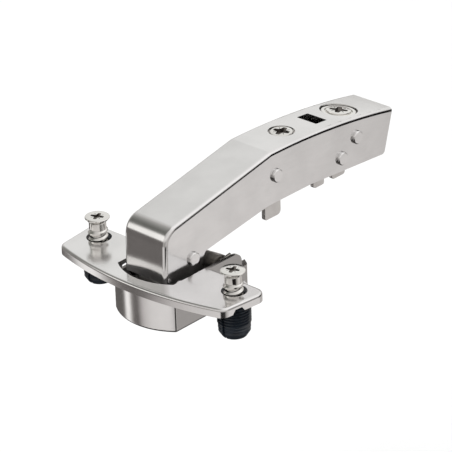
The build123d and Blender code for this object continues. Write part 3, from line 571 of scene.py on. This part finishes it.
# The studio that the metal mirrors: paper and dark cards round the table. Each band of heights above
# the horizon, in degrees, has its own run of (share of a full turn from -X through -Y, +X and +Y, colour).
studio = (
    ((-90, -48), ((0.0, "#2e2c2b"), (0.3, "#3a3836"), (0.5, "#454341"), (0.8, "#3a3836"))),
    ((-37, -22), ((0.0, "#5c5957"), (0.028, "#5c5957"), (0.044, "#787472"), (0.060, "#f0eeec"), (0.084, "#f0eeec"),
                  (0.100, "#8f8b88"), (0.114, "#625e5c"), (0.144, "#5f5b59"), (0.157, "#9a9694"), (0.178, "#bcb8b6"),
                  (0.22, "#d0cdcb"), (0.32, "#d4d1cf"), (0.345, "#151413"), (0.455, "#201e1d"), (0.51, "#a8a5a2"),
                  (0.60, "#d4d1cf"), (0.630, "#d4d1cf"), (0.638, "#c8c5c3"), (0.65, "#aca9a7"), (0.72, "#bcb8b5"),
                  (0.84, "#9a9794"), (0.90, "#5c5957"))),
    ((-18, 4), ((0.0, "#8f8c89"), (0.09, "#6a6664"), (0.131, "#625e5c"), (0.17, "#5a5654"), (0.24, "#a09d9a"),
                (0.34, "#8a8784"), (0.42, "#b4b1af"), (0.57, "#a8a5a2"), (0.595, "#060606"), (0.655, "#060606"),
                (0.69, "#7b7876"), (0.85, "#a09d9a"), (1.0, "#8f8c89"))),
    ((10, 17), ((0.0, "#8c8c88"), (0.075, "#6a6a65"), (0.105, "#f2f0ec"), (0.165, "#f2f0ec"), (0.20, "#cbc8c5"),
                (0.38, "#c8c5c2"), (0.57, "#b4b1af"), (0.595, "#060606"), (0.655, "#060606"), (0.70, "#b8b6b4"),
                (0.80, "#dededc"), (0.87, "#dcdcda"), (0.93, "#c8c7c5"), (1.0, "#8c8c88"))),
    ((22, 27), ((0.0, "#8c8c88"), (0.075, "#6a6a65"), (0.105, "#f2f0ec"), (0.165, "#f2f0ec"), (0.20, "#d8d5d2"),
                (0.59, "#dcdad8"), (0.61, "#f4f3f2"), (0.645, "#f4f3f2"), (0.70, "#dcdad8"), (0.80, "#dededc"),
                (0.87, "#dcdcda"), (0.93, "#c8c7c5"), (1.0, "#8c8c88"))),
    ((35, 90), ((0.0, "#8c8c88"), (0.086, "#5c5c58"), (0.125, "#7c7c78"), (0.2, "#b4b2b0"), (0.5, "#dcdad8"),
                (0.62, "#f4f3f2"), (0.66, "#eceae9"), (0.86, "#d8d8d6"), (0.90, "#d4d4d2"), (0.96, "#a8a6a3"),
                (1.0, "#8c8c88"))),
)
skyStrength = {"mirrored": 1.25, "plain": 0.85, "seen": 1.0}
world = bpy.data.worlds.new("studio")
world.use_nodes = True
bpy.context.scene.world = world
tree = world.node_tree
tree.nodes.clear()
output = addNode(tree, "ShaderNodeOutputWorld")
direction = addNode(tree, "ShaderNodeTexCoord").outputs["Generated"]
axes = addNode(tree, "ShaderNodeSeparateXYZ", None, {"Vector": direction})
angle = addNode(tree, "ShaderNodeMath", {"operation": "ARCTAN2"}, {0: axes.outputs["Y"], 1: axes.outputs["X"]})
turn = addNode(tree, "ShaderNodeMapRange", {"From Min": -math.pi, "From Max": math.pi},
               {"Value": angle.outputs["Value"]})
panels, reached = None, None
for (lowest, highest), colours in studio:
    band = setRamp(addNode(tree, "ShaderNodeValToRGB", None, {"Fac": turn.outputs["Result"]}), colours)
    if panels is None:
        panels = band.outputs["Color"]
    else:
        rise = addNode(tree, "ShaderNodeMapRange",
                       {"From Min": math.sin(math.radians(reached)), "From Max": math.sin(math.radians(lowest)),
                        "interpolation_type": "SMOOTHSTEP"}, {"Value": axes.outputs["Z"]})
        blend = addNode(tree, "ShaderNodeMix", {"data_type": "RGBA"}, {"Factor": rise.outputs["Result"]})
        tree.links.new(panels, blend.inputs["A"])
        tree.links.new(band.outputs["Color"], blend.inputs["B"])
        panels = blend.outputs["Result"]
    reached = highest
rays = addNode(tree, "ShaderNodeLightPath")
mirroredSky = addNode(tree, "ShaderNodeBackground", {"Strength": skyStrength["mirrored"]}, {"Color": panels})
plainSky = addNode(tree, "ShaderNodeBackground", {"Color": toLinear("#ffffff"), "Strength": skyStrength["plain"]})
whiteSky = addNode(tree, "ShaderNodeBackground", {"Color": toLinear("#ffffff"), "Strength": skyStrength["seen"]})
lit = addNode(tree, "ShaderNodeMixShader", None,
              {"Fac": rays.outputs["Is Glossy Ray"], 1: plainSky.outputs["Background"],
               2: mirroredSky.outputs["Background"]})
seen = addNode(tree, "ShaderNodeMixShader", None,
               {"Fac": rays.outputs["Is Camera Ray"], 1: lit.outputs["Shader"], 2: whiteSky.outputs["Background"]})
tree.links.new(seen.outputs["Shader"], output.inputs["Surface"])

# One soft box from above, which the metal doesn't mirror
softbox = {"place": (-0.25, -0.1, 0.75), "aim": (0.0, 0.03, 0.0), "widthMm": 600, "watts": 2.0}
lamp = bpy.data.lights.new("softboxAbove", "AREA")
lamp.size = softbox["widthMm"] * mm
lamp.energy = softbox["watts"]
holder = bpy.data.objects.new("softboxAbove", lamp)
bpy.context.scene.collection.objects.link(holder)
holder.location = softbox["place"]
holder.rotation_euler = (Vector(softbox["aim"]) - holder.location).to_track_quat("-Z", "Y").to_euler()
holder.visible_glossy = False
print("studio ready")

# Camera, fitted to the photograph
view = {"azimuth": 43.146, "elevation": 26.597, "roll": -1.879, "distance": 0.800094,
        "target": (0.010696, 0.006239, 0.011973), "focalPixels": 3107.848, "imagePixels": 452}
azimuth, elevation, roll = (math.radians(view[k]) for k in ("azimuth", "elevation", "roll"))
look = Vector((-math.sin(azimuth) * math.cos(elevation), math.cos(azimuth) * math.cos(elevation),
               -math.sin(elevation)))
right = Vector((math.cos(azimuth), math.sin(azimuth), 0))
up = right.cross(look)
rolledRight = right * math.cos(roll) + up * math.sin(roll)
rolledUp = up * math.cos(roll) - right * math.sin(roll)
lens = bpy.data.cameras.new("camera")
lens.sensor_fit = "HORIZONTAL"
lens.sensor_width = 36.0
lens.lens = view["focalPixels"] * lens.sensor_width / view["imagePixels"]
lens.clip_start = 0.05
camera = bpy.data.objects.new("camera", lens)
bpy.context.scene.collection.objects.link(camera)
turned = Matrix((rolledRight, rolledUp, -look)).transposed().to_4x4()
camera.matrix_world = Matrix.Translation(Vector(view["target"]) - look * view["distance"]) @ turned
bpy.context.scene.camera = camera
bpy.context.scene.view_settings.view_transform = "Standard"
